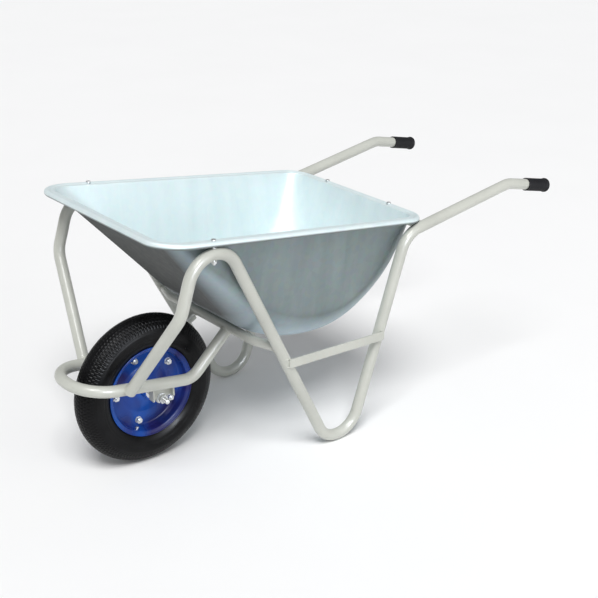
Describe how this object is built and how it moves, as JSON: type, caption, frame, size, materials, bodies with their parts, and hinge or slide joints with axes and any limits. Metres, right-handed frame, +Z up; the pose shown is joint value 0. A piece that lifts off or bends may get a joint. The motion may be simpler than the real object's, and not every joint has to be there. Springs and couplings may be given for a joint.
{
  "type": "wheelbarrow",
  "caption": "Single-wheel barrow: deep galvanised tray on a bent-tube frame whose side tubes run from the wheel hoop over an arch and the foot out to the handles.",
  "frame": {"origin": "on the floor under the middle of the overall box", "axes": "+X rearward from the wheel to the grips, +Y to the user's right, +Z up"},
  "size_m": [1.2872, 0.5344, 0.6239],
  "materials": {
    "frame_paint": "gloss",
    "galvanised": "satin galvanised",
    "zinc": "bright zinc plate",
    "grip_rubber": "matt",
    "bearing_steel": "ground",
    "wheel_paint": "gloss",
    "tyre_rubber": "matt",
    "tube_rubber": "matt",
    "valve_brass": "satin",
    "valve_cap_metal": "satin"
  },
  "bodies": {
    "frame": {"right_side_tube": "frame_paint", "left_side_tube": "frame_paint", "wheel_hoop": "frame_paint", "front_cross_tube": "frame_paint", "rear_cross_tube": "frame_paint", "left_leg_brace": "frame_paint", "right_leg_brace": "frame_paint", "left_axle_bracket": "frame_paint", "right_axle_bracket": "frame_paint", "tray": "galvanised", "tray_bolts": "zinc", "tray_washers": "zinc", "tray_spacers": "zinc", "tray_nuts": "zinc", "axle": "zinc", "axle_washers": "zinc", "axle_nuts": "zinc", "left_axle_spacer": "zinc", "right_axle_spacer": "zinc", "bearing_spacer": "zinc", "right_grip": "grip_rubber", "left_grip": "grip_rubber", "bearing_inner_races": "bearing_steel"},
    "wheel": {"bearing_outer_races": "bearing_steel", "bearing_shields": "bearing_steel", "hub_tube": "wheel_paint", "left_wheel_half": "wheel_paint", "right_wheel_half": "wheel_paint", "wheel_bolts": "zinc", "wheel_washers": "zinc", "wheel_nuts": "zinc", "tyre": "tyre_rubber", "inner_tube": "tube_rubber", "valve_stem": "valve_brass", "valve_cap": "valve_cap_metal"},
    "ball_sets": {"bearing_balls": "bearing_steel", "bearing_cages": "bearing_steel"}
  },
  "joints": [
    {"name": "wheel_spin", "type": "hinge", "parent": "frame", "child": "wheel", "pos_m": [-0.43054, 0, 0.18], "axis": [0, 1, 0], "continuous": true},
    {"name": "ball_spin", "type": "hinge", "parent": "frame", "child": "ball_sets", "pos_m": [-0.43054, 0, 0.18], "axis": [0, 1, 0], "continuous": true}
  ],
  "couplings": [
    {"joint": "ball_spin", "follows": "wheel_spin", "ratio": 0.634}
  ]
}
